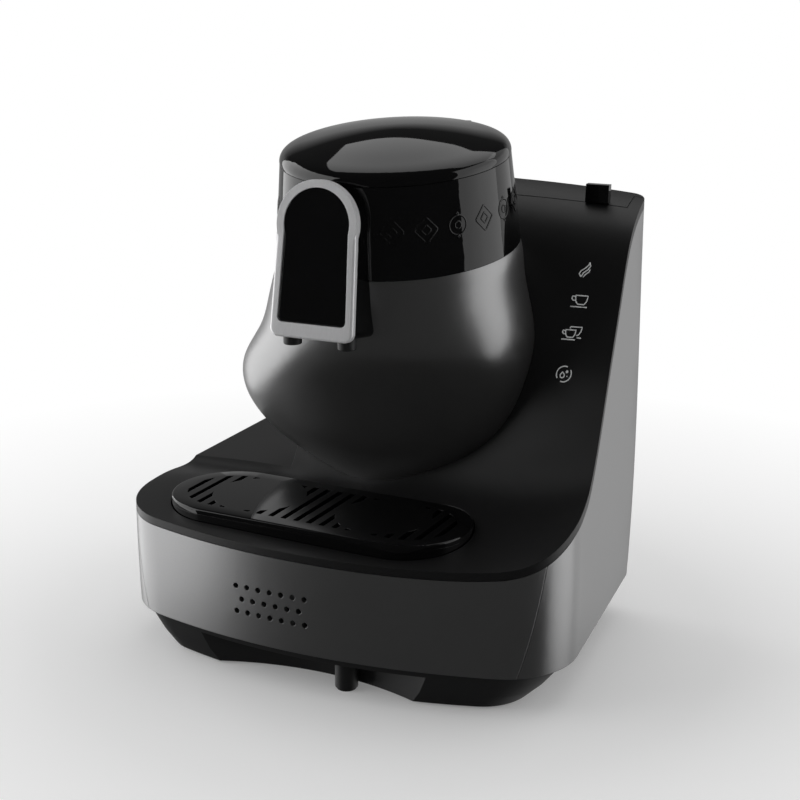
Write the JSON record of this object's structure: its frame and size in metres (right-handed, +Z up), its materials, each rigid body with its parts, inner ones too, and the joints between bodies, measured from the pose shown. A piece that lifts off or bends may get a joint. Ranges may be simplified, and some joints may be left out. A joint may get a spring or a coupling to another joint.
{
  "type": "electric turkish coffee maker",
  "caption": "Electric Turkish coffee maker with a hinged brewing tower, an arched two-cup spout, a lift-off drip tray and a rear water tank.",
  "frame": {"origin": "centre of the footprint box on the table", "axes": "+Z up, -Y towards the user, the control wall on +X"},
  "size_m": [0.2676, 0.2123, 0.2971],
  "materials": {
    "dark_metal": "satin dark grey metallic",
    "black_satin": "satin black",
    "black_gloss": "high gloss black",
    "black_plastic": "fine grained black",
    "silver": "satin chrome",
    "steel": "brushed",
    "aluminium": "cast",
    "rubber": "matt",
    "silicone": "matt grey",
    "clear_silicone": "milky",
    "copper_coil": "lacquered winding",
    "tank_smoke": "smoked plastic",
    "circuit": "solder mask"
  },
  "bodies": {
    "housing": {"front_fascia": "dark_metal", "side_panel_right": "dark_metal", "side_panel_left": "dark_metal", "tray_well": "black_satin", "deck_shell": "black_satin", "base_pan": "black_plastic", "feet": "rubber", "base_screws": "steel", "spout_frame": "silver", "spout_face": "black_gloss", "spout_body": "black_gloss", "spout_nozzles": "black_plastic", "brew_chamber": "steel", "outlet_duct": "clear_silicone", "tower_shroud": "dark_metal", "valve_coil": "copper_coil", "heater_plate": "aluminium", "temperature_sensor": "steel", "chamber_stand": "black_plastic", "tower_back": "black_plastic", "tower_band": "black_gloss", "chamber_collar": "black_plastic", "lid_hinge_pin": "steel", "tank_bay": "black_plastic", "tank_socket": "silicone", "rear_cover": "black_plastic", "switch_bezel": "black_plastic", "cord_gland": "rubber", "pump": "black_plastic", "feed_hose": "clear_silicone", "main_board": "circuit", "speaker": "steel", "touch_board": "circuit"},
    "brew_lid": {"brew_lid": "black_gloss", "lid_seal": "silicone"},
    "outlet_valve": {"outlet_valve": "steel", "valve_spring": "steel"},
    "water_tank": {"water_tank": "tank_smoke", "tank_valve": "black_plastic", "tank_lid_pins": "steel"},
    "tank_lid": {"tank_lid": "black_satin", "tank_lid_tab": "black_gloss"},
    "drip_pan": {"drip_pan": "black_gloss"},
    "cup_grille": {"cup_grille": "black_gloss"},
    "power_rocker": {"power_rocker": "black_gloss"}
  },
  "joints": [
    {"name": "brew_lid_hinge", "type": "hinge", "parent": "housing", "child": "brew_lid", "pos_m": [0.003, 0.0701, 0.289], "axis": [-1, 0, 0], "range_deg": [0, 88]},
    {"name": "outlet_valve_slide", "type": "slide", "parent": "housing", "child": "outlet_valve", "axis": [0, 1, 0], "range_m": [0, 0.0035], "stiffness_N_per_m": 60, "springref_m": -0.002},
    {"name": "water_tank_lift", "type": "slide", "parent": "housing", "child": "water_tank", "axis": [0, 0.1044, 0.9945], "range_m": [0, 0.085]},
    {"name": "tank_lid_hinge", "type": "hinge", "parent": "water_tank", "child": "tank_lid", "pos_m": [0, 0.10215, 0.2464], "axis": [-1, 0, 0], "range_deg": [0, 70]},
    {"name": "drip_tray_lift", "type": "slide", "parent": "housing", "child": "drip_pan", "axis": [0, 0, 1], "range_m": [0, 0.01]},
    {"name": "cup_grille_lift", "type": "slide", "parent": "drip_pan", "child": "cup_grille", "axis": [0, 0, 1], "range_m": [0, 0.004]},
    {"name": "power_rocker_tilt", "type": "hinge", "parent": "housing", "child": "power_rocker", "pos_m": [0.084, 0.08135, 0.05031], "axis": [1, 0, 0], "range_deg": [0, 12]}
  ]
}
